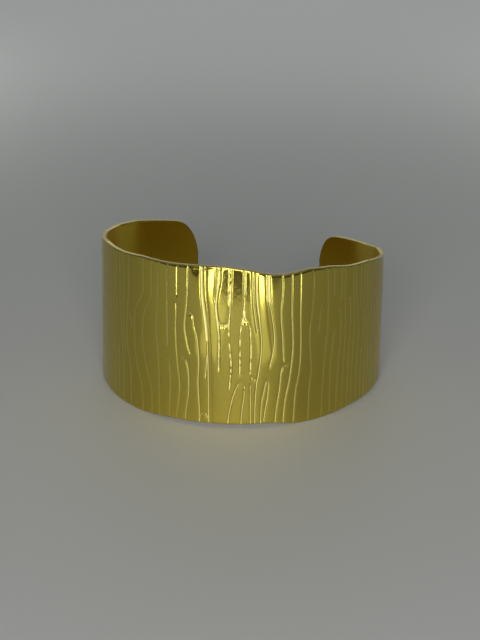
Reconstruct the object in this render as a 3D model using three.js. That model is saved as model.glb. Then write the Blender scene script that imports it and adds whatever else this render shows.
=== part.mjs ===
// Cuff bracelet: one strip of sheet brass with a raised bark pattern on its outside, rounded at its two
// ends and bent to an open oval. It stands on its lower edge, as it does on a table.
// Millimetres, +Z up. The front faces -Y. The origin is on the table, below the middle of the band's box.
// "Along" is the distance along the outside of the oval from the middle of the front, positive towards +X.
import * as THREE from "three";

// The oval, measured outside at the foot. It is slightly narrower at the top, and its sides lean to +X.
const HALF_WIDTH = 31;
const HALF_DEPTH = 27.5;
const TAPER_PER_MM = 0.00064;
const LEAN_PER_MM = 0.011;

// The strip: its thickness over the bark's high places, and where its two ends lie along the oval.
const WALL = 1.0;
const LEFT_TIP = -81.3;
const RIGHT_TIP = 72.1;
const LEFT_ROUNDING = 6.5;
const RIGHT_ROUNDING = 5.3;
const LEFT_POWER = 2.7;
const RIGHT_POWER = 2.9;
const TIP_SHARES = [0.86, 0.95, 0.985];

// The bark: grooves run from the lower edge to the upper one, and the metal between them is crowned.
const GROOVE_DEPTH = 0.28;
const GROOVE_WIDTH = 0.55;
const WIDE_GROOVE_WIDTH = 0.95;
const SHOULDER_CUT = 0.07;
const GROOVE_FADE = 2.5;
const LEAST_STEP = 0.1;
const ROWS = 11;

// The grain of the back and sides, where the grooves are closer and plainer than on the front.
const SIDE_SPACING = 2;
const SIDE_SWAY = 0.35;
const SWAY_PER_GROOVE = 1.9;
const SIDE_LEAN = 0.7;
const LEAN_FULL = 40;
const LEAN_GONE = 66;
const PLAIN_MARGIN = 2.2;

// The height of the upper edge along the band.
const TOP_EDGE = [
  { along: -81.3, height: 24.8 },
  { along: -77.5, height: 25.7 },
  { along: -71, height: 27.2 },
  { along: -64, height: 29.0 },
  { along: -57, height: 30.3 },
  { along: -49, height: 31.7 },
  { along: -37, height: 34.1 },
  { along: -29, height: 34.7 },
  { along: -22.7, height: 35.5 },
  { along: -15.7, height: 35.6 },
  { along: -9.2, height: 36.0 },
  { along: -3.3, height: 36.1 },
  { along: 1.8, height: 35.4 },
  { along: 5.9, height: 34.3 },
  { along: 9, height: 34.0 },
  { along: 14.7, height: 34.5 },
  { along: 19.7, height: 34.0 },
  { along: 24.8, height: 32.8 },
  { along: 31, height: 31.9 },
  { along: 36.6, height: 30.5 },
  { along: 43.6, height: 28.5 },
  { along: 50, height: 27.4 },
  { along: 57, height: 25.6 },
  { along: 66.8, height: 24.1 },
  { along: 72.1, height: 23.4 },
];

// The height of the lower edge, which touches the table in four places and lifts a little between them.
const LOWER_EDGE = [
  { along: -60, height: 0 },
  { along: -54, height: 0 },
  { along: -42, height: 0.35 },
  { along: -31, height: 0 },
  { along: -23, height: 0 },
  { along: -16, height: 0.6 },
  { along: -8, height: 0.75 },
  { along: 6, height: 0.85 },
  { along: 12, height: 0 },
  { along: 17, height: 0 },
  { along: 24, height: 0.4 },
  { along: 38, height: 0.4 },
  { along: 50, height: 0 },
  { along: 60, height: 0 },
];

// The grooves of the front, from left to right. The five places say how far along the groove lies at the
// station heights. From and to are the heights between which it is cut, where it isn't cut right through.
const STATIONS = [0, 9, 18, 27, 36];
const WHOLE_GROOVE = { from: -3, to: 40, width: GROOVE_WIDTH };
const FRONT_GROOVES = [
  { foot: -26.2, low: -26.3, middle: -27.4, high: -26.7, crown: -26.5 },
  { foot: -22.6, low: -23.7, middle: -24.9, high: -22.7, crown: -22.1 },
  { foot: -20.0, low: -21.0, middle: -22.4, high: -20.2, crown: -19.8 },
  { foot: -18.0, low: -18.1, middle: -18.7, high: -18.2, crown: -18.0 },
  { foot: -15.8, low: -15.3, middle: -15.9, high: -15.9, crown: -15.9 },
  { foot: -14.1, low: -13.1, middle: -13.8, high: -13.9, crown: -13.5 },
  { foot: -11.9, low: -11.1, middle: -11.5, high: -11.5, crown: -11.0 },
  { foot: -8.8, low: -9.1, middle: -8.9, high: -10.1, crown: -9.9, to: 25.5 },
  { foot: -6.8, low: -6.9, middle: -7.0, high: -7.7, crown: -8.2, width: WIDE_GROOVE_WIDTH },
  { foot: -4.8, low: -4.8, middle: -4.8, high: -5.2, crown: -4.6, from: 14 },
  { foot: -3.6, low: -2.5, middle: -2.5, high: -2.4, crown: -2.1, from: 10 },
  { foot: -2.7, low: -1.3, middle: -1.3, high: -1.2, crown: -1.0, to: 10 },
  { foot: -1.2, low: -0.4, middle: -0.3, high: 0.6, crown: 0.7, from: 13 },
  { foot: -0.2, low: 0.5, middle: 0.6, high: 1.3, crown: 1.4, to: 10 },
  { foot: 1.4, low: 1.8, middle: 1.9, high: 2.0, crown: 2.0, from: 8, to: 25 },
  { foot: 2.8, low: 3.0, middle: 4.0, high: 3.2, crown: 2.7, width: WIDE_GROOVE_WIDTH },
  { foot: 4.3, low: 5.2, middle: 6.6, high: 5.8, crown: 5.4 },
  { foot: 6.9, low: 8.0, middle: 8.6, high: 8.2, crown: 8.3 },
  { foot: 8.7, low: 9.8, middle: 10.7, high: 10.4, crown: 10.5 },
  { foot: 10.9, low: 11.6, middle: 12.4, high: 12.3, crown: 12.3 },
  { foot: 14.2, low: 14.6, middle: 14.5, high: 15.1, crown: 15.2 },
  { foot: 15.9, low: 16.1, middle: 16.4, high: 17.1, crown: 16.8, from: 19, to: 27 },
  { foot: 17.5, low: 17.8, middle: 18.5, high: 18.7, crown: 18.4 },
  { foot: 19.6, low: 19.7, middle: 20.4, high: 20.4, crown: 20.3 },
];

// A function that runs smoothly, or straight, through the rows of a table.
function through(Interpolant, places, values) {
  const line = new Interpolant(places, values, 1, new Float64Array(1));
  return (place) => line.evaluate(place)[0];
}

const upperEdge = through(
  THREE.CubicInterpolant,
  TOP_EDGE.map((row) => row.along),
  TOP_EDGE.map((row) => row.height),
);
const lowerEdge = through(
  THREE.LinearInterpolant,
  LOWER_EDGE.map((row) => row.along),
  LOWER_EDGE.map((row) => row.height),
);

const oval = new THREE.EllipseCurve(0, 0, HALF_WIDTH, HALF_DEPTH, -Math.PI / 2, 1.5 * Math.PI);
oval.arcLengthDivisions = 1440;
const ovalLength = oval.getLength();

// The point of the band at a distance along it, at a height, and so far in from its outer face.
function pointOnBand(along, height, inset) {
  const share = THREE.MathUtils.euclideanModulo(along / ovalLength, 1);
  const point = oval.getPointAt(share).multiplyScalar(1 - TAPER_PER_MM * height);
  const tangent = oval.getTangentAt(share);
  const lean = LEAN_PER_MM * height * (point.x / HALF_WIDTH) ** 2;
  return [point.x + lean - inset * tangent.y, point.y + inset * tangent.x, height];
}

// The share of the strip's full height that is left near a rounded end.
function heightShare(along) {
  const left = (LEFT_TIP + LEFT_ROUNDING - along) / LEFT_ROUNDING;
  const right = (along - RIGHT_TIP + RIGHT_ROUNDING) / RIGHT_ROUNDING;
  const power = along < 0 ? LEFT_POWER : RIGHT_POWER;
  return Math.pow(1 - Math.pow(Math.max(left, right, 0), power), 1 / power);
}

// The lower and upper end of a column of the band, which leans where its groove leans.
function columnEnds(column) {
  const top = STATIONS[STATIONS.length - 1];
  const alongFoot = column.along(STATIONS[0]);
  const alongCrown = column.along(upperEdge(column.along(top)));
  const lower = lowerEdge(alongFoot);
  const upper = upperEdge(alongCrown);
  const middle = (lower + upper) / 2;
  return {
    lower: THREE.MathUtils.lerp(middle, lower, heightShare(alongFoot)),
    upper: THREE.MathUtils.lerp(middle, upper, heightShare(alongCrown)),
  };
}

// The three columns of a groove: its left shoulder, its floor and its right shoulder.
function grooveColumns(groove) {
  const line = through(THREE.CubicInterpolant, STATIONS, [
    groove.foot,
    groove.low,
    groove.middle,
    groove.high,
    groove.crown,
  ]);
  const { from, to, width } = { ...WHOLE_GROOVE, ...groove };
  const { smoothstep } = THREE.MathUtils;
  const floorCut = (height) =>
    SHOULDER_CUT +
    GROOVE_DEPTH * smoothstep(height, from, from + GROOVE_FADE) * smoothstep(-height, -to, GROOVE_FADE - to);
  const half = width / 2;
  return [
    { along: (height) => line(height) - half, cut: () => SHOULDER_CUT },
    { along: line, cut: floorCut },
    { along: (height) => line(height) + half, cut: () => SHOULDER_CUT },
  ];
}

// The grooves between two places on the sides and back, which sway by turns and lean less near the ends.
function sideGrooves(start, end) {
  const count = Math.round((end - start) / SIDE_SPACING);
  const spacing = (end - start) / count;
  const grooves = [];
  for (let k = 0; k <= count; k += 1) {
    const place = start + k * spacing;
    const sway = SIDE_SWAY * Math.sin(SWAY_PER_GROOVE * k);
    const lean = SIDE_LEAN * (1 - THREE.MathUtils.smoothstep(Math.abs(place), LEAN_FULL, LEAN_GONE));
    grooves.push({
      foot: place + sway - Math.sign(place) * lean,
      low: place + sway,
      middle: place + sway + lean / 2,
      high: place + sway,
      crown: place + sway,
    });
  }
  return grooves;
}

// The columns of the whole band, from the left tip to the right one.
function bandColumns() {
  const first = FRONT_GROOVES[0].middle - SIDE_SPACING;
  const last = FRONT_GROOVES[FRONT_GROOVES.length - 1].middle + SIDE_SPACING;
  const grooves = [
    ...sideGrooves(LEFT_TIP + PLAIN_MARGIN, first),
    ...FRONT_GROOVES,
    ...sideGrooves(last, RIGHT_TIP - PLAIN_MARGIN),
  ];
  const tipColumn = (along) => ({ along: () => along, cut: () => SHOULDER_CUT });
  const columns = [...TIP_SHARES]
    .reverse()
    .map((share) => tipColumn(LEFT_TIP + LEFT_ROUNDING * (1 - share)));
  grooves.forEach((groove) => {
    const [left, floor, right] = grooveColumns(groove);
    const before = columns[columns.length - 1];
    const ridge = { along: (height) => (before.along(height) + left.along(height)) / 2, cut: () => 0 };
    columns.push(ridge, left, floor, right);
  });
  return [...columns, ...TIP_SHARES.map((share) => tipColumn(RIGHT_TIP - RIGHT_ROUNDING * (1 - share)))];
}

// The band as one closed body: a barked outer face, a smooth inner face, two edges and two ends.
function bandGeometry() {
  const positions = [];
  const triangles = [];
  const addPoint = (point) => positions.push(...point) / 3 - 1;
  const addQuad = (a, b, c, d) => triangles.push(a, b, c, a, c, d);
  const outer = [];
  const inner = [];
  let before = null;
  bandColumns().forEach((column) => {
    const { lower, upper } = columnEnds(column);
    const places = [];
    outer.push([]);
    for (let row = 0; row <= ROWS; row += 1) {
      const height = THREE.MathUtils.lerp(lower, upper, row / ROWS);
      const wanted = column.along(height);
      const along = before ? Math.max(wanted, before[row] + LEAST_STEP) : wanted;
      places.push(along);
      outer.at(-1).push(addPoint(pointOnBand(along, height, column.cut(height))));
    }
    inner.push([
      addPoint(pointOnBand(places[0], lower, WALL)),
      addPoint(pointOnBand(places[ROWS], upper, WALL)),
    ]);
    before = places;
  });
  for (let i = 0; i + 1 < outer.length; i += 1) {
    for (let row = 0; row < ROWS; row += 1) {
      addQuad(outer[i][row], outer[i + 1][row], outer[i + 1][row + 1], outer[i][row + 1]);
    }
    addQuad(inner[i + 1][0], inner[i][0], inner[i][1], inner[i + 1][1]);
    addQuad(outer[i][ROWS], outer[i + 1][ROWS], inner[i + 1][1], inner[i][1]);
    addQuad(outer[i + 1][0], outer[i][0], inner[i][0], inner[i + 1][0]);
  }
  const end = outer.length - 1;
  for (let row = 0; row < ROWS; row += 1) {
    triangles.push(inner[0][0], outer[0][row], outer[0][row + 1]);
    triangles.push(inner[end][0], outer[end][row + 1], outer[end][row]);
  }
  triangles.push(inner[0][0], outer[0][ROWS], inner[0][1]);
  triangles.push(inner[end][0], inner[end][1], outer[end][ROWS]);

  const geometry = new THREE.BufferGeometry();
  geometry.setAttribute("position", new THREE.Float32BufferAttribute(positions, 3));
  geometry.setIndex(triangles);
  geometry.computeBoundingBox();
  const box = geometry.boundingBox;
  geometry.translate(-(box.min.x + box.max.x) / 2, -(box.min.y + box.max.y) / 2, 0);
  geometry.computeVertexNormals();
  return geometry;
}

const polishedBrass = new THREE.MeshStandardMaterial({ color: 0xc2a23c, roughness: 0.22, metalness: 1 });
const cuffBand = new THREE.Mesh(bandGeometry(), polishedBrass);
cuffBand.name = "cuff_band";

const bracelet = new THREE.Group();
bracelet.add(cuffBand);

export default bracelet;
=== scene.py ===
import math
import random

import bmesh
import bpy
import numpy as np
from mathutils import Matrix, Vector, noise


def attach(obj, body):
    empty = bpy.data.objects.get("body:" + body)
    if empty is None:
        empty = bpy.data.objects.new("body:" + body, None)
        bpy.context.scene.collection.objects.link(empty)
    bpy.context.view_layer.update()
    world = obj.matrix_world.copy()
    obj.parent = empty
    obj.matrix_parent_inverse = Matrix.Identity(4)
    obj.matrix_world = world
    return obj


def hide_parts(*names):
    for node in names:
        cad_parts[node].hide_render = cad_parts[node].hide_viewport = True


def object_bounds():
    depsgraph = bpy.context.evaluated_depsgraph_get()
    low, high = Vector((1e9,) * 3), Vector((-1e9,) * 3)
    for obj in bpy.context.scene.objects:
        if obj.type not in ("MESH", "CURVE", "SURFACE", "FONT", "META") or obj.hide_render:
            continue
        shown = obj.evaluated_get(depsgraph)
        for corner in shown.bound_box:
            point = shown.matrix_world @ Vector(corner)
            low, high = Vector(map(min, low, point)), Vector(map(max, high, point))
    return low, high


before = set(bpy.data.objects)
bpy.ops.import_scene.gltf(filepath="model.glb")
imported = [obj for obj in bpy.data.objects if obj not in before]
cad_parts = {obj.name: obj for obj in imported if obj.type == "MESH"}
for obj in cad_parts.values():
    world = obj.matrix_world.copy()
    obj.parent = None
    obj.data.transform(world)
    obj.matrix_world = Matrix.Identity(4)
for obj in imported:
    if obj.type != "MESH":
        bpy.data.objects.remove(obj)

cad_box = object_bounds()
MM = 0.001

# The view: a camera in front of the cuff and a little above it, looking down at its middle. The cuff's
# oval has its centre half a depth behind its front face, and the camera is placed from that centre.
HALF_DEPTH = 27.5
OVAL_CENTRE = Vector((0.0, cad_box[0].y / MM + HALF_DEPTH, 0.0))
CAMERA_PLACE = Vector((-0.3, -286.7, 151.1))
CAMERA_AIM = Vector((-0.3, 0.0, 11.6))
CAMERA_LENS = 81.0

camera_data = bpy.data.cameras.new("camera")
camera_data.lens = CAMERA_LENS
camera_data.sensor_width = 36.0
camera_data.clip_start = 10 * MM
camera_data.clip_end = 10.0
camera_data.dof.use_dof = False
camera = bpy.data.objects.new("camera", camera_data)
camera.location = (CAMERA_PLACE + OVAL_CENTRE) * MM
camera.rotation_euler = (CAMERA_AIM - CAMERA_PLACE).to_track_quat("-Z", "Y").to_euler()
bpy.context.collection.objects.link(camera)
bpy.context.scene.camera = camera


# The cuff band: one strip of sheet brass, cut with wavy edges and rounded ends, with grooves like the
# bark of a tree pressed and cast into its outside, then plated, polished and bent round an oval
# mandrel. It is made here as the maker makes it: flat first, then carved, given its thickness, and
# bent. Lengths are in millimetres, along the band from the middle of its front, and up from its foot.
# The band narrows a little towards its top, and its sides lean to the right there. The smooth inner
# face keeps only one row in INNER_ROW_STEP, and the row next to each of its rims.
HALF_WIDTH = 31.0
TAPER_PER_MM = 0.00064
LEAN_PER_MM = 0.011
WALL = 1.0
LIP_RADIUS = 0.22
LIP_STEPS = 3
ROWS = 78
INNER_ROW_STEP = 13
ARC_PLACES = 7201

# Its two ends: where they lie, how far from them the rounding starts, how square it is, and how much
# of it is used, which leaves each end a short straight edge.
LEFT_TIP = -81.3
RIGHT_TIP = 72.1
LEFT_ROUNDING = 6.5
RIGHT_ROUNDING = 5.3
LEFT_POWER = 2.7
RIGHT_POWER = 2.9
TIP_SHARE = 0.985

# Where the strip's edges run: distance along the band, and height.
UPPER_EDGE = [
    (-81.3, 24.8), (-77.5, 25.7), (-74.4, 26.4), (-71, 27.2), (-64, 28.95), (-57, 30.3), (-49, 31.7),
    (-37, 34.1), (-29, 34.7), (-22.7, 35.5), (-15.7, 35.6), (-9.2, 36.0), (-3.3, 36.1), (1.8, 35.4),
    (5.9, 34.3), (9, 34.0), (14.7, 34.5), (19.7, 34.0), (24.8, 32.8), (31, 31.9), (36.6, 30.5),
    (43.6, 28.5), (50, 27.4), (57, 25.6), (62, 24.8), (66.8, 24.1), (72.1, 23.4),
]
LOWER_EDGE = [
    (-81.3, 0), (-60, 0), (-54, 0), (-42, 0.35), (-31, 0), (-23, 0), (-16, 0.6), (-8, 0.75), (6, 0.85),
    (12, 0), (17, 0), (24, 0.4), (38, 0.4), (50, 0), (60, 0), (72.1, 0),
]

# How far apart the columns of the strip lie, from one place along it to the next: finest on the front
# and at the ends.
COLUMN_ZONES = [
    (-81.2, -80.0, 0.10), (-80.0, -44.0, 0.25), (-44.0, -24.0, 0.20), (-24.0, 22.0, 0.095),
    (22.0, 40.0, 0.20), (40.0, 71.0, 0.25), (71.0, 72.0, 0.10),
]

# The grooves of the front, from left to right: each has a width and the places it runs through, as
# distance along the band and height. Several end in a small hook.
FINE = 0.22
GRAINY = 0.40
BROAD = 0.76
SPINDLE = 1.1
FRONT_GROOVES = [
    (FINE, [(-35.2, -2), (-35.0, 12), (-35.6, 22), (-35.2, 40)]),
    (FINE, [(-33.6, -2), (-33.5, 10), (-34.1, 20), (-33.8, 40)]),
    (FINE, [(-32.2, -2), (-32.2, 9), (-32.8, 18), (-32.5, 40)]),
    (FINE, [(-30.7, -2), (-30.5, 8), (-30.6, 13), (-31.1, 14.8)]),
    (FINE, [(-31.4, 18), (-31.6, 24), (-31.2, 40)]),
    (FINE, [(-28.8, -2), (-28.7, 9), (-29.4, 17), (-29.9, 24), (-29.6, 40)]),
    (FINE, [(-28.0, 12), (-28.6, 20), (-28.4, 28), (-28.6, 40)]),
    (FINE, [(-26.2, -2), (-26.2, 9), (-27.1, 13), (-27.4, 18), (-27.1, 22), (-26.5, 29),
            (-26.5, 40)]),
    (FINE, [(-25.7, 18.8), (-25.8, 20.6), (-26.5, 21.6)]),
    (FINE, [(-22.6, -2), (-22.7, 5), (-23.7, 9), (-24.4, 12), (-24.9, 18), (-24.4, 23.5),
            (-22.8, 26.3), (-22.1, 29), (-22.1, 40)]),
    (FINE, [(-20.0, -2), (-20.1, 6), (-21.2, 10), (-22.2, 15), (-22.5, 18.5), (-21.8, 23.5),
            (-20.5, 25.8), (-19.8, 29), (-19.8, 40)]),
    (FINE, [(-18.0, -2), (-18.2, 14), (-18.7, 20.5), (-18.2, 27), (-18.0, 40)]),
    (FINE, [(-15.9, 17), (-15.9, 28), (-15.9, 40)]),
    (FINE, [(-15.75, -2), (-15.45, 5), (-15.25, 9), (-15.4, 12), (-15.6, 13.6), (-16.2, 14.2)]),
    (FINE, [(-13.6, 29), (-13.5, 40)]),
    (FINE, [(-14.2, -2), (-14.1, 0.7), (-13.45, 4.5), (-13.1, 9), (-13.6, 14), (-13.95, 21),
            (-13.8, 26), (-14.0, 27.5), (-14.5, 28.1)]),
    (FINE, [(-10.7, 16.6), (-11.25, 18), (-11.9, 22), (-11.7, 25), (-11.25, 30), (-11.0, 40)]),
    (FINE, [(-8.8, -2), (-8.8, 3), (-9.1, 10), (-8.9, 15), (-9.3, 20.4), (-9.95, 23), (-10.0, 24.4),
            (-10.35, 25.2), (-11.0, 25.6)]),
    (FINE, [(-12.0, -2), (-11.8, 2.5), (-11.2, 7), (-11.1, 11), (-11.4, 13.8), (-11.8, 14.8),
            (-12.5, 15.2)]),
    (FINE, [(-8.9, 0.6), (-8.6, 2.3), (-8.0, 3.0), (-7.4, 2.8), (-7.0, 2.1)]),
    (BROAD, [(-7.1, 20.0), (-7.3, 23), (-7.75, 27), (-8.1, 31), (-8.1, 40)]),
    (FINE, [(-6.8, -2), (-6.85, 8), (-6.95, 15), (-7.1, 20.5)]),
    (FINE, [(-7.1, 16.5), (-7.3, 14.5), (-7.5, 11.5)]),
    (GRAINY, [(-4.7, 13.5), (-4.6, 19.0), (-4.7, 22.0), (-5.1, 26), (-5.2, 28), (-4.9, 30.5),
              (-4.6, 33), (-4.5, 40)]),
    (GRAINY, [(-4.8, 24.2), (-4.4, 23.5), (-3.7, 23.2), (-3.0, 23.5), (-2.6, 24.2)]),
    (BROAD, [(-4.7, 32.0), (-4.5, 34), (-4.5, 40)]),
    (BROAD, [(-2.4, 28.5), (-2.3, 31), (-2.1, 40)]),
    (SPINDLE, [(0.4, 24.6), (0.45, 25.2)]),
    (BROAD, [(0.45, 25.2), (0.55, 27.0)]),
    (GRAINY, [(3.6, 25), (3.1, 30), (2.95, 40)]),
    (BROAD, [(5.7, 28.5), (5.5, 31), (5.45, 40)]),
    (GRAINY, [(-2.45, 9.5), (-2.15, 14.5), (-2.4, 18), (-2.6, 22), (-2.45, 25), (-2.3, 30),
              (-2.1, 40)]),
    (GRAINY, [(-0.35, 12.5), (-0.3, 20), (-0.1, 23), (0.3, 25), (0.6, 28.5), (0.75, 40)]),
    (GRAINY, [(1.8, 13), (1.95, 18), (1.8, 22), (1.45, 23.8), (0.9, 24.8)]),
    (FINE, [(-2.9, -2), (-2.7, 2.5), (-2.05, 6), (-1.5, 8), (-0.9, 9.8), (-0.2, 10.6), (0.4, 10.2),
            (0.6, 9.3)]),
    (FINE, [(-0.25, -2), (0.0, 3), (0.5, 7), (0.55, 8.6)]),
    (FINE, [(1.8, -2), (1.85, 5), (1.8, 10)]),
    (FINE, [(3.25, 22), (2.8, 25), (2.3, 30), (2.1, 40)]),
    (FINE, [(2.7, -2), (2.8, 5), (3.1, 10), (3.5, 12.4), (4.05, 17.5), (4.0, 21), (3.6, 25), (3.1, 30),
            (2.85, 40)]),
    (FINE, [(2.1, 11.5), (2.6, 11.2), (3.1, 10.6)]),
    (FINE, [(5.8, 14.0), (6.3, 16), (6.8, 20), (6.3, 25), (5.7, 28), (5.3, 30), (5.35, 40)]),
    (FINE, [(3.9, -2), (4.1, 5), (4.6, 8), (5.0, 10.2), (5.4, 10.6), (5.6, 9.8), (5.4, 7), (5.0, 4.5),
            (4.6, 1.5)]),
    (FINE, [(8.7, 15.2), (8.5, 20), (8.1, 26), (8.4, 31), (8.2, 40)]),
    (FINE, [(6.8, -2), (7.2, 3.5), (7.9, 8.5), (8.2, 12.3), (8.6, 13.5), (9.4, 13.9)]),
    (FINE, [(8.6, -2), (9.0, 5), (9.9, 10), (10.3, 13), (10.7, 18.5), (10.4, 27), (10.5, 40)]),
    (FINE, [(10.8, -2), (11.05, 3), (11.4, 8), (12.1, 12), (12.4, 17), (12.3, 25), (12.3, 40)]),
    (FINE, [(14.2, -2), (14.5, 8), (14.9, 12), (14.4, 20), (15.1, 27), (15.2, 40)]),
    (FINE, [(16.5, 20.2), (16.8, 23), (17.1, 25), (17.7, 26.2)]),
    (FINE, [(17.4, -2), (17.75, 8), (18.2, 15), (18.8, 23), (18.4, 40)]),
    (FINE, [(19.6, -2), (19.6, 10), (20.0, 15), (20.5, 19.5)]),
    (FINE, [(20.3, 27), (20.3, 40)]),
    (FINE, [(21.4, -2), (21.4, 5), (21.8, 12), (22.3, 20), (22.1, 23.5), (21.6, 24.2)]),
    (FINE, [(22.3, 25.5), (22.3, 40)]),
    (FINE, [(23.0, -2), (23.1, 9), (23.6, 18), (23.3, 27), (23.3, 40)]),
    (FINE, [(24.5, -2), (24.6, 10), (25.1, 20), (24.9, 25), (24.4, 25.6)]),
    (FINE, [(25.8, -2), (25.9, 10), (26.4, 20), (25.8, 30), (25.8, 40)]),
    (FINE, [(27.4, -2), (27.4, 8), (27.9, 17), (26.8, 27), (26.5, 40)]),
    (FINE, [(28.4, 22), (28.4, 40)]),
    (FINE, [(29.0, -2), (29.0, 8), (29.2, 12.2), (29.6, 12.9)]),
    (FINE, [(29.6, 15), (29.8, 22), (29.6, 40)]),
    (FINE, [(30.5, -2), (30.6, 14), (30.9, 24), (30.5, 40)]),
    (FINE, [(32.0, -2), (31.9, 12), (31.6, 22), (31.4, 40)]),
    (FINE, [(33.4, -2), (33.3, 12), (32.8, 24), (32.5, 40)]),
    (FINE, [(34.9, -2), (34.8, 12), (34.8, 22.4), (34.3, 23.2)]),
    (FINE, [(34.0, 25.5), (33.8, 40)]),
    (FINE, [(36.4, -2), (36.3, 12), (36.1, 22), (35.8, 40)]),
]

# The narrow polished channels beside some of the wide grooves: as deep as a groove, but never frosted.
VALLEYS = [
    (0.24, [(-6.75, 24), (-7.0, 27), (-7.3, 31), (-7.35, 40)]),
    (0.06, [(-6.2, -2), (-6.25, 8), (-6.3, 14), (-6.5, 20), (-6.9, 26)]),
    (0.10, [(-5.6, 29), (-5.2, 33), (-5.1, 40)]),
    (0.16, [(6.35, 18), (6.0, 22), (5.5, 26), (5.05, 30), (4.95, 40)]),
]

# The dented place at the upper edge: where it is, its half width and half height, and how deep it is.
DENTS = [
    (-9.4, 36.4, 1.3, 2.6, 0.15),
]

# The small pits, most of them at the end of a hook.
PITS = [
    (-14.6, 28.2), (-11.2, 25.7), (-12.6, 15.3), (-16.3, 14.3), (-26.6, 21.7), (-31.2, 14.9),
    (-24.7, 10.5), (-21.0, 6.0), (9.6, 13.9), (17.8, 26.3), (20.8, 19.8), (18.4, 13.6), (22.2, 24.3),
]

# How a groove is cut: a level floor, for this share of its half width, bevelled sides, and soft
# shoulders. Further from its path than its reach, it changes nothing.
GROOVE_DEPTH = 0.11
FLOOR_SHARE = 0.4
GROOVE_BEVEL = 0.16
SHOULDER_DEPTH = 0.02
SHOULDER_REACH = 0.4
GROOVE_REACH = 1.0
PATH_STEPS = 6
NEXT_TO_NOTHING = 1e-9

# Its floor is frosted, a wide one more than a fine one, and the frost ends just past its edges.
# The frost also paints a groove's floor a paler, brighter gold: a painted highlight.
FINEST_FROST = 0.5
FROSTED_SHARE = 0.5
FROST_FADE = 0.05

# The bark gets shallower at the rim, and it is worn on both sides, away from the middle of the front.
RIM_SHARE = 0.3
RIM_FADE = 0.3
DENT_FADE = 0.6
WORN_SHARE = 0.35
WORN_ZONE = (9, 15)
PIT_RADIUS = 0.28
PIT_DEPTH = 0.12

# The face between the grooves is slightly wavy: how deep the waves are, how many there are to a
# millimetre along the band and up it, and which slice of the noise they are taken from.
WAVE_DEPTH = 0.035
WAVES_ALONG = 0.35
WAVES_UP = 0.07
WAVE_SLICE = 4.0

# The panels that were left sandy: between which places along the band, and from which height.
SANDY_PANELS = (-4.7, 2.3)
SANDY_FADE = 0.5
SANDY_FROM = 9.0
SANDY_RISE = 4.0

# The front is painted lighter, as painted light, and it darkens into painted shade between these
# distances to its left and its right.
PAINTED_LIGHT_FADE_LEFT = (11.0, 27.0)
PAINTED_LIGHT_FADE_RIGHT = (6.0, 14.0)

# The grooves of the sides and back: the stretch of each side with the seed of its chances, and how far
# apart, how wide, how slanting and how bowed its grooves are. Some stop short of an edge.
LEFT_SIDE = (-79.0, -36.2, 3)
RIGHT_SIDE = (37.6, 70.0, 5)
SIDE_SPACING = 1.45
SIDE_UNEVENNESS = 0.25
SIDE_WIDTH = 0.36
SIDE_LEAN = 0.4
SIDE_BOW = 0.35
SIDE_HOOK = [(-0.25, 0.9), (-0.8, 1.3)]
SHORT_SHARE = 0.3
SHORT_CROWNS = (10, 24)
SHORT_FEET = (8, 18)
BELOW_BAND = -2.0
ABOVE_BAND = 40.0

# What each place on the strip carries besides its own place: how it was carved and how much painted
# front light it gets, which part of the surface it is, and, while the lip is drawn, where its rim was
# and which way is out of the strip.
CARVED = ("groove", "sandy", "painted_front_light")
SURFACE_PARTS = ("inside", "lip")
RIM_RECORD = ("rim_along", "rim_height", "rim_level", "out_along", "out_height")


def side_grooves(start, end, seed):
    """The grooves of one side and its part of the back: plain, close and leaning."""
    chance = random.Random(seed)
    grooves = []
    place = start
    while place < end:
        lean = chance.uniform(-SIDE_LEAN, SIDE_LEAN)
        bow = chance.uniform(-SIDE_BOW, SIDE_BOW)
        foot, crown = BELOW_BAND, ABOVE_BAND
        if chance.random() < SHORT_SHARE:
            crown = chance.uniform(*SHORT_CROWNS)
        elif chance.random() < SHORT_SHARE:
            foot = chance.uniform(*SHORT_FEET)
        middle = (foot + crown) / 2
        path = [(place - lean, foot), (place + bow, middle), (place + lean, crown)]
        if crown < ABOVE_BAND:
            path += [(place + lean + along, crown + height) for along, height in SIDE_HOOK]
        grooves.append((SIDE_WIDTH, path))
        place += SIDE_SPACING * chance.uniform(1 - SIDE_UNEVENNESS, 1 + SIDE_UNEVENNESS)
    return grooves


def smooth_path(points):
    """The points of a smooth line through the given ones."""
    given = np.array(points, float)
    padded = np.vstack([2 * given[0] - given[1], given, 2 * given[-1] - given[-2]])
    line = [given[0]]
    for before, here, there, after in zip(padded, padded[1:], padded[2:], padded[3:]):
        for step in range(1, PATH_STEPS + 1):
            t = step / PATH_STEPS
            straight = (there - before) * t
            bend = (2 * before - 5 * here + 4 * there - after) * t * t
            twist = (3 * here - before - 3 * there + after) * t ** 3
            line.append(0.5 * (2 * here + straight + bend + twist))
    return np.array(line)


def ease(value, low, high):
    """0 up to low, 1 from high on, and a smooth rise between them."""
    t = np.clip((value - low) / (high - low), 0, 1)
    return t * t * (3 - 2 * t)


def distance_to(path, along, height):
    """How far each place lies from a path."""
    nearest = np.full(along.shape, np.inf)
    for (a0, h0), (a1, h1) in zip(path, path[1:]):
        da, dh = a1 - a0, h1 - h0
        square = da * da + dh * dh + NEXT_TO_NOTHING
        share = np.clip(((along - a0) * da + (height - h0) * dh) / square, 0, 1)
        nearest = np.minimum(nearest, np.hypot(along - a0 - share * da, height - h0 - share * dh))
    return nearest


def height_share(along):
    """The share of the strip's full height that is left near a rounded end."""
    left = np.clip((LEFT_TIP + LEFT_ROUNDING - along) / LEFT_ROUNDING, 0, TIP_SHARE)
    right = np.clip((along - RIGHT_TIP + RIGHT_ROUNDING) / RIGHT_ROUNDING, 0, TIP_SHARE)
    left_share = (1 - left ** LEFT_POWER) ** (1 / LEFT_POWER)
    return left_share * (1 - right ** RIGHT_POWER) ** (1 / RIGHT_POWER)


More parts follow.
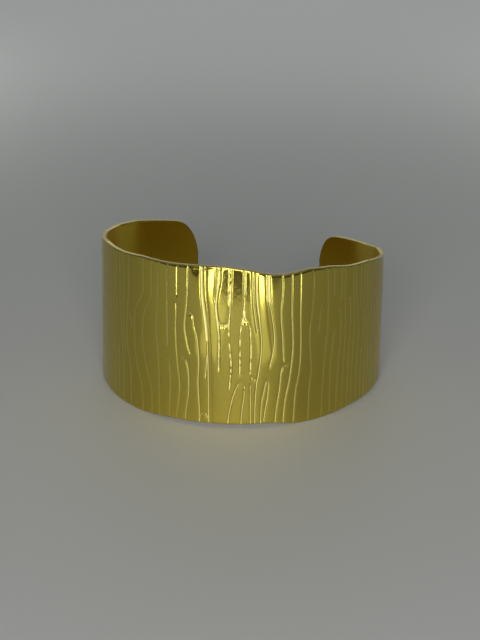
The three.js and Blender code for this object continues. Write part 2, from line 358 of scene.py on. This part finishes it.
def edge_heights(along):
    """The heights of the strip's lower and upper edges."""
    upper = np.interp(along, *np.array(UPPER_EDGE, float).T)
    lower = np.interp(along, *np.array(LOWER_EDGE, float).T)
    middle = (upper + lower) / 2
    share = height_share(along)
    return middle + (lower - middle) * share, middle + (upper - middle) * share


def cut_grooves(along, height):
    """How far down a groove each place is, how frosted it is, and how far down a groove's shoulder."""
    grooves = side_grooves(*LEFT_SIDE) + FRONT_GROOVES + side_grooves(*RIGHT_SIDE)
    cuts = [(width, points, min(1, FINEST_FROST + width)) for width, points in grooves]
    cuts += [(width, points, 0.0) for width, points in VALLEYS]
    floor, frost, shoulder = np.zeros((3, len(along)))
    for width, points, frost_and_highlight in cuts:
        path = smooth_path(points)
        low, high = path.min(axis=0) - GROOVE_REACH, path.max(axis=0) + GROOVE_REACH
        near = (along > low[0]) & (along < high[0]) & (height > low[1]) & (height < high[1])
        gap = distance_to(path, along[near], height[near])
        half = width / 2
        down = 1 - ease(gap, half * FLOOR_SHARE, half + GROOVE_BEVEL)
        frosted = frost_and_highlight * (1 - ease(gap, half * FROSTED_SHARE, half + FROST_FADE))
        floor[near] = np.maximum(floor[near], down)
        frost[near] = np.maximum(frost[near], frosted)
        shoulder[near] = np.maximum(shoulder[near], np.exp(-(gap / SHOULDER_REACH) ** 2))
    return floor, frost, shoulder


def dips(along, height):
    """How far down a pit each place is, and how deep it is in a dent."""
    pits = np.zeros(len(along))
    for place, level in PITS:
        gap = np.hypot(along - place, height - level)
        pits = np.maximum(pits, 1 - ease(gap, 0.0, PIT_RADIUS))
    dents = np.zeros(len(along))
    for place, level, half_width, half_height, deepest in DENTS:
        gap = np.hypot((along - place) / half_width, (height - level) / half_height)
        dents = np.maximum(dents, deepest * (1 - ease(gap, 0.0, 1.0)))
    return pits, dents


def wave(along, height):
    """How far down a wave of the face a place is, from 0 to 1."""
    return 0.5 + 0.5 * noise.noise(Vector((along * WAVES_ALONG, height * WAVES_UP, WAVE_SLICE)))


def carve(along, height):
    """How deep the bark is cut at each place of the strip, how frosted and sandy it is, and how much
    painted front light it gets.
    """
    floor, frost, shoulder = cut_grooves(along, height)
    pits, dents = dips(along, height)
    waves = np.array([wave(*place) for place in zip(along, height)])
    lower, upper = edge_heights(along)
    from_edge = np.minimum(height - lower, upper - height) - LIP_RADIUS
    floor *= RIM_SHARE + (1 - RIM_SHARE) * ease(from_edge, 0, RIM_FADE)
    dents *= ease(from_edge, 0, DENT_FADE)
    unworn = 1 - WORN_SHARE * ease(np.abs(along), *WORN_ZONE)
    depth = GROOVE_DEPTH * floor * unworn + SHOULDER_DEPTH * shoulder + PIT_DEPTH * pits
    depth += WAVE_DEPTH * waves + dents
    left, right = SANDY_PANELS
    sandy = ease(along, left - SANDY_FADE, left + SANDY_FADE)
    sandy *= ease(height, SANDY_FROM - SANDY_RISE, SANDY_FROM + SANDY_RISE)
    sandy *= 1 - ease(along, right - SANDY_FADE, right + SANDY_FADE)
    # Painted light and shade: 1 on the front, falling to 0 towards the sides and back, where the
    # colour is darker.
    painted_front_light = 1 - ease(-along, *PAINTED_LIGHT_FADE_LEFT) - ease(along, *PAINTED_LIGHT_FADE_RIGHT)
    return depth, frost * unworn, sandy, painted_front_light


def column_places():
    """Where the columns of the strip lie along it."""
    places = []
    for start, end, step in COLUMN_ZONES:
        places += list(np.linspace(start, end, round((end - start) / step), endpoint=False))
    return np.array(places + [COLUMN_ZONES[-1][1]])


def flat_strip(strip, columns):
    """Lays a grid over the flat strip's outline, set in by the lip round it. Returns its vertices."""
    steps = len(columns) - 1
    grid = bmesh.ops.create_grid(strip, x_segments=steps, y_segments=ROWS, size=0.5)["verts"]
    lower, upper = edge_heights(columns)
    inside = np.clip(columns, LEFT_TIP + LIP_RADIUS, RIGHT_TIP - LIP_RADIUS)
    row_layer = strip.verts.layers.int["row"]
    for vert in grid:
        column = round((vert.co.x + 0.5) * steps)
        vert[row_layer] = round((vert.co.y + 0.5) * ROWS)
        low, high = lower[column] + LIP_RADIUS, upper[column] - LIP_RADIUS
        vert.co = (inside[column], low + (high - low) * vert[row_layer] / ROWS, 0.0)
    return grid


def is_row_edge(edge, row_layer):
    """Whether an edge of the inner face runs along one of the rows that it can do without."""
    first, second = [vert[row_layer] for vert in edge.verts]
    next_to_rim = first in (1, ROWS - 1)
    return not edge.is_boundary and first == second and not next_to_rim and first % INNER_ROW_STEP


def inner_face(strip, outer_verts):
    """Adds the smooth inner face: a copy of the outer one before it is carved, with fewer rows."""
    parts = [*outer_verts, *strip.edges, *strip.faces]
    copied = bmesh.ops.duplicate(strip, geom=parts)["geom"]
    row_layer = strip.verts.layers.int["row"]
    inside_layer = strip.verts.layers.float["inside"]
    verts = [part for part in copied if isinstance(part, bmesh.types.BMVert)]
    edges = [part for part in copied if isinstance(part, bmesh.types.BMEdge)]
    for vert in verts:
        vert.co.z = -WALL
        vert[inside_layer] = 1.0
    rows = [edge for edge in edges if is_row_edge(edge, row_layer)]
    bmesh.ops.dissolve_edges(strip, edges=rows, use_verts=True)


def outward_at_rim(vert):
    """The direction, in the flat strip, that leads out of it at a place on its rim."""
    outward = Vector((0.0, 0.0, 0.0))
    for edge in [edge for edge in vert.link_edges if edge.is_boundary]:
        line = edge.verts[1].co - edge.verts[0].co
        side = Vector((line.y, -line.x, 0.0)).normalized()
        inwards = edge.link_faces[0].calc_center_median() - edge.verts[0].co
        outward += -side if side.dot(inwards) > 0 else side
    return outward.normalized()


def draw_lip(strip, rim_edges):
    """Draws the rounded lip out of the outer face's rim, a ring at a time. Returns the last ring."""
    layers = [strip.verts.layers.float[name] for name in RIM_RECORD]
    groove_layer, lip_layer = [strip.verts.layers.float[name] for name in ("groove", "lip")]
    for vert in {vert for edge in rim_edges for vert in edge.verts}:
        outward = outward_at_rim(vert)
        for layer, value in zip(layers, (*vert.co, outward.x, outward.y)):
            vert[layer] = value
    turns = [math.pi / 2 * step / LIP_STEPS for step in range(LIP_STEPS + 1)]
    rings = [(math.sin(turn), 1 - math.cos(turn), True) for turn in turns[1:]]
    rings += [(math.cos(turn), 1 - math.sin(turn), False) for turn in turns[:-1]]
    for out, sink, by_outer_face in rings:
        drawn = bmesh.ops.extrude_edge_only(strip, edges=rim_edges)["geom"]
        rim_edges = [part for part in drawn if isinstance(part, bmesh.types.BMEdge)]
        for vert in {vert for edge in rim_edges for vert in edge.verts}:
            along, height, level, out_along, out_height = [vert[layer] for layer in layers]
            vert.co.x = along + out_along * out * LIP_RADIUS
            vert.co.y = height + out_height * out * LIP_RADIUS
            vert.co.z = level - sink * LIP_RADIUS if by_outer_face else -WALL + sink * LIP_RADIUS
            vert[groove_layer], vert[lip_layer] = 0.0, 1.0
    return rim_edges


def bend_to_oval(strip):
    """Bends the flat strip round the oval: x goes along it, y up, and z out of its face."""
    turns = np.linspace(-math.pi, math.pi, ARC_PLACES)
    speed = np.hypot(HALF_WIDTH * np.cos(turns), HALF_DEPTH * np.sin(turns))
    places = np.concatenate([[0], np.cumsum((speed[1:] + speed[:-1]) / 2 * np.diff(turns))])
    places -= np.interp(0, turns, places)
    flat = np.array([vert.co for vert in strip.verts])
    turn = np.interp(flat[:, 0], places, turns)
    across, back = np.sin(turn), -np.cos(turn)
    slope = np.hypot(across * HALF_DEPTH, back * HALF_WIDTH)
    shrink = 1 - TAPER_PER_MM * flat[:, 1]
    lean = LEAN_PER_MM * flat[:, 1] * across ** 2
    bent = np.column_stack([
        across * (HALF_WIDTH * shrink + flat[:, 2] * HALF_DEPTH / slope) + lean,
        back * (HALF_DEPTH * shrink + flat[:, 2] * HALF_WIDTH / slope),
        flat[:, 1],
    ])
    for vert, point in zip(strip.verts, bent):
        vert.co = (Vector(point) + OVAL_CENTRE) * MM


strip = bmesh.new()
strip.verts.layers.int.new("row")
for name in (*CARVED, *SURFACE_PARTS, *RIM_RECORD):
    strip.verts.layers.float.new(name)
outer_verts = flat_strip(strip, column_places())
inner_face(strip, outer_verts)
outer_along, outer_height = np.array([tuple(vert.co.xy) for vert in outer_verts]).T
depth, *carved_values = carve(outer_along, outer_height)
carved_layers = [strip.verts.layers.float[name] for name in CARVED]
for vert, cut, *values in zip(outer_verts, depth, *carved_values):
    vert.co.z = -cut
    for layer, value in zip(carved_layers, values):
        vert[layer] = value
rims = [edge for edge in strip.edges if edge.is_boundary]
outer_rim = [edge for edge in rims if edge.verts[0].co.z > -WALL / 2]
inner_rim = [edge for edge in rims if edge.verts[0].co.z <= -WALL / 2]
lip_rim = draw_lip(strip, outer_rim)
bmesh.ops.bridge_loops(strip, edges=lip_rim + inner_rim)
bend_to_oval(strip)
bmesh.ops.recalc_face_normals(strip, faces=strip.faces)
for face in strip.faces:
    face.smooth = True
band_mesh = bpy.data.meshes.new("bark_band")
strip.to_mesh(band_mesh)
strip.free()
band = bpy.data.objects.new("bark_band", band_mesh)
bpy.context.collection.objects.link(band)

# Its metal is brass plated yellow gold and polished. Its colour is painted lighter on the front and
# darker on the sides and back, as painted light and shade. Fine scratches haze the polish, and the
# floors of the grooves and the sandy panels keep a fine grain from the casting. The frosted floors are
# coloured a paler, brighter gold, a painted highlight; the inner wall a deeper orange gold, a painted
# reflection of the gold walls in each other; and the lip a darker gold, painted shade.
GOLD = (0.79, 0.645, 0.12, 1)
# A darker gold for the sides and back: painted shade.
SHADED_SIDE_GOLD = (0.60, 0.485, 0.09, 1)
# A paler, brighter gold for the frosted floors: a painted highlight.
GROOVE_HIGHLIGHT_GOLD = (0.98, 0.87, 0.34, 1)
# A deeper orange gold for the inner wall: a painted reflection of the gold walls in each other.
INSIDE_REFLECTION_GOLD = (0.86, 0.62, 0.05, 1)
# A darker, greyer gold for the lip: painted shade that dims the lamps' reflection on it.
LIP_SHADE_GOLD = (0.52, 0.43, 0.14, 1)

# How rough it is. The polish runs one way, and differs a little from place to place.
POLISH_RANGE = (0.08, 0.12)
SCRATCHED = 0.36
GROOVE_ROUGHNESS = 0.60
INSIDE_ROUGHNESS = 0.28
LIP_ROUGHNESS = 0.42
BRUSHING = 0.6
BRUSHING_TURN = 0.25
SMUDGES_PER_METRE = 120
SCRATCHES_PER_METRE = 12000
SCRATCH_RANGE = (0.72, 0.76)

# Its grain, which is drawn out upwards, stands out from the floor of a groove and from a sandy panel.
GRAINS_PER_METRE = 3400
GRAIN_RANGE = (0.38, 0.54)
GRAIN_STRETCH = (1.0, 1.0, 0.3)
SANDY_GRAIN = 0.5
GRAIN_STRENGTH = 0.6
GRAIN_HEIGHT = 0.05

gold = bpy.data.materials.new("polished_gold_plate")
gold.use_nodes = True
nodes, links = gold.node_tree.nodes, gold.node_tree.links


def feed(socket, source):
    """Gives a socket what comes out of another node, or a number or colour of its own."""
    if isinstance(source, bpy.types.NodeSocket):
        links.new(source, socket)
    else:
        socket.default_value = source


def carried(name):
    """One of the values that the places of the surface carry."""
    attribute = nodes.new("ShaderNodeAttribute")
    attribute.attribute_name = name
    return attribute.outputs["Fac"]


def noise_over(places, scale, detail):
    """A pattern of noise over the surface, so fine and so detailed."""
    pattern = nodes.new("ShaderNodeTexNoise")
    pattern.inputs["Scale"].default_value = scale
    pattern.inputs["Detail"].default_value = detail
    links.new(places, pattern.inputs["Vector"])
    return pattern.outputs["Fac"]


def ranged(value, source=(0.0, 1.0), target=(0.0, 1.0)):
    """A value brought from one range to another."""
    change = nodes.new("ShaderNodeMapRange")
    change.inputs["From Min"].default_value, change.inputs["From Max"].default_value = source
    change.inputs["To Min"].default_value, change.inputs["To Max"].default_value = target
    links.new(value, change.inputs["Value"])
    return change.outputs["Result"]


def mixed(first, second, share, kind="FLOAT"):
    """A mix of two numbers, or of two colours, in which the second has the given share."""
    mix = nodes.new("ShaderNodeMix")
    mix.data_type = kind
    feed(mix.inputs["A"], first)
    feed(mix.inputs["B"], second)
    feed(mix.inputs["Factor"], share)
    return mix.outputs["Result"]


def computed(operation, *values):
    """The outcome of a calculation with numbers."""
    calculation = nodes.new("ShaderNodeMath")
    calculation.operation = operation
    for socket, value in zip(calculation.inputs, values):
        feed(socket, value)
    return calculation.outputs["Value"]


place = nodes.new("ShaderNodeTexCoord").outputs["Object"]
groove, sandiness, front_light_share = [carried(name) for name in CARVED]
inner_wall, lip = [carried(name) for name in SURFACE_PARTS]
stretch = nodes.new("ShaderNodeVectorMath")
stretch.operation = "MULTIPLY"
stretch.inputs[1].default_value = GRAIN_STRETCH
links.new(place, stretch.inputs[0])
grain = noise_over(stretch.outputs["Vector"], GRAINS_PER_METRE, 1)
smudge = noise_over(place, SMUDGES_PER_METRE, 3)
scratch = noise_over(place, SCRATCHES_PER_METRE, 0)
# The frost sets the roughness and also the painted highlight of the paler groove colour; in the sandy
# panels the grain breaks both into specks.
frost_and_highlight = computed("MULTIPLY", groove, mixed(1.0, ranged(grain, GRAIN_RANGE), sandiness))

# Painted light and shade: lighter gold on the front, darker gold on the sides and back.
panel_colour = mixed(SHADED_SIDE_GOLD, GOLD, front_light_share, "RGBA")
# Painted highlight: the frosted floors take the paler, brighter gold.
outer_colour = mixed(panel_colour, GROOVE_HIGHLIGHT_GOLD, frost_and_highlight, "RGBA")
# Painted reflection: the inner wall takes the deeper orange gold.
wall_colour = mixed(outer_colour, INSIDE_REFLECTION_GOLD, inner_wall, "RGBA")
polish = mixed(ranged(smudge, target=POLISH_RANGE), SCRATCHED, ranged(scratch, SCRATCH_RANGE))
outer_roughness = mixed(polish, GROOVE_ROUGHNESS, frost_and_highlight)
wall_roughness = mixed(outer_roughness, INSIDE_ROUGHNESS, inner_wall)
grain_share = computed("MULTIPLY_ADD", sandiness, SANDY_GRAIN, groove)
bump = nodes.new("ShaderNodeBump")
bump.inputs["Strength"].default_value = GRAIN_STRENGTH
bump.inputs["Distance"].default_value = GRAIN_HEIGHT * MM
links.new(computed("MULTIPLY", grain, grain_share), bump.inputs["Height"])
around = nodes.new("ShaderNodeTangent")
around.direction_type = "RADIAL"
around.axis = "Z"

shader = nodes["Principled BSDF"]
shader.inputs["Metallic"].default_value = 1.0
shader.inputs["Anisotropic"].default_value = BRUSHING
shader.inputs["Anisotropic Rotation"].default_value = BRUSHING_TURN
links.new(around.outputs["Tangent"], shader.inputs["Tangent"])
# Painted shade: the lip takes the darker gold.
links.new(mixed(wall_colour, LIP_SHADE_GOLD, lip, "RGBA"), shader.inputs["Base Color"])
links.new(mixed(wall_roughness, LIP_ROUGHNESS, lip), shader.inputs["Roughness"])
links.new(bump.outputs["Normal"], shader.inputs["Normal"])
band_mesh.materials.append(gold)

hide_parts("cuff_band")
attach(band, "root")


# The floor: a wide sheet of pale paper that the cuff stands on, with its front edge just out of the
# view, on a dark grey table. Neither is part of the cuff.
PAPER_FRONT = -97.5
PAPER_BACK = 1500.0
PAPER_HALF_WIDTH = 900.0
PAPER_COLOUR = (0.61, 0.61, 0.58, 1)
PAPER_ROUGHNESS = 0.6
TABLE_HALF_WIDTH = 2500.0
TABLE_TOP = -0.3
TABLE_COLOUR = (0.03, 0.03, 0.03, 1)
TABLE_ROUGHNESS = 0.9


def stage_sheet(name, low, high, level, colour, roughness):
    """A flat sheet between two corners, in millimetres from the oval's centre."""
    sheet = bmesh.new()
    grid = bmesh.ops.create_grid(sheet, x_segments=1, y_segments=1, size=0.5)["verts"]
    middle = (Vector((*low, level)) + Vector((*high, level))) / 2 + OVAL_CENTRE
    size = Vector((high[0] - low[0], high[1] - low[1], 1))
    bmesh.ops.transform(sheet, matrix=Matrix.LocRotScale(middle * MM, None, size * MM), verts=grid)
    mesh = bpy.data.meshes.new(name)
    sheet.to_mesh(mesh)
    sheet.free()
    made = bpy.data.objects.new(name, mesh)
    bpy.context.collection.objects.link(made)
    surface = bpy.data.materials.new(name)
    surface.use_nodes = True
    shader = surface.node_tree.nodes["Principled BSDF"]
    shader.inputs["Base Color"].default_value = colour
    shader.inputs["Roughness"].default_value = roughness
    mesh.materials.append(surface)


stage_sheet(
    "pale_floor", (-PAPER_HALF_WIDTH, PAPER_FRONT), (PAPER_HALF_WIDTH, PAPER_BACK), 0.0,
    PAPER_COLOUR, PAPER_ROUGHNESS,
)
stage_sheet(
    "grey_table", (-TABLE_HALF_WIDTH, -TABLE_HALF_WIDTH), (TABLE_HALF_WIDTH, TABLE_HALF_WIDTH),
    TABLE_TOP, TABLE_COLOUR, TABLE_ROUGHNESS,
)


# The light: a dim room and soft lamps. A broad lamp hangs in front of the cuff, and a large one far
# behind it. Three over the paper behind the cuff light the backdrop. Two long low ones beyond the
# paper's front edge, and two faint ones nearer the cuff, show in the polished front as bright panels.
LOW_TINT = (0.92, 1.0, 0.9)
FAR_TINT = (0.96, 0.99, 1.0)
FAR_SPREAD = 100
ROOM_COLOUR = (0.92, 0.97, 1.0, 1)
ROOM_STRENGTH = 0.145


def soft_lamp(name, place, aim, size, power, spread=180, tint=(1.0, 1.0, 1.0)):
    """A soft rectangular lamp at a place, in millimetres from the oval's centre, turned to an aim.
    Its spread is in degrees."""
    data = bpy.data.lights.new(name, "AREA")
    data.shape = "RECTANGLE"
    data.size, data.size_y = size[0] * MM, size[1] * MM
    data.energy = power
    data.color = tint
    data.spread = math.radians(spread)
    lamp = bpy.data.objects.new(name, data)
    lamp.location = (Vector(place) + OVAL_CENTRE) * MM
    lamp.rotation_euler = (Vector(aim) - Vector(place)).to_track_quat("-Z", "Y").to_euler()
    lamp.visible_camera = False
    bpy.context.collection.objects.link(lamp)


soft_lamp("front_lamp", (-25, -450, 160), (0, 0, 20), (280, 300), 1.4)
soft_lamp("far_lamp", (-40, 310, 120), (-40, 310, 0), (700, 260), 0.10, FAR_SPREAD, FAR_TINT)
soft_lamp("far_left_lamp", (-190, 190, 90), (-190, 190, 0), (160, 160), 0.037, FAR_SPREAD, FAR_TINT)
soft_lamp("far_right_lamp", (190, 190, 90), (190, 190, 0), (160, 160), 0.020, FAR_SPREAD, FAR_TINT)
soft_lamp("back_lamp", (0, 900, 330), (0, 0, 20), (1000, 360), 1.2, tint=FAR_TINT)
soft_lamp("low_left_lamp", (-34, -183, 2), (-34, -183, 100), (13, 188), 0.042, tint=LOW_TINT)
soft_lamp("low_right_lamp", (24, -183, 2), (24, -183, 100), (13, 188), 0.035, tint=LOW_TINT)
soft_lamp("left_glow_lamp", (-21, -71, 2), (-21, -71, 100), (14, 36), 0.0004, tint=LOW_TINT)
soft_lamp("right_glow_lamp", (15, -71, 2), (15, -71, 100), (11, 36), 0.0003, tint=LOW_TINT)
room = bpy.data.worlds.new("room")
room.use_nodes = True
room.node_tree.nodes["Background"].inputs["Color"].default_value = ROOM_COLOUR
room.node_tree.nodes["Background"].inputs["Strength"].default_value = ROOM_STRENGTH
bpy.context.scene.world = room
bpy.context.scene.view_settings.view_transform = "Standard"
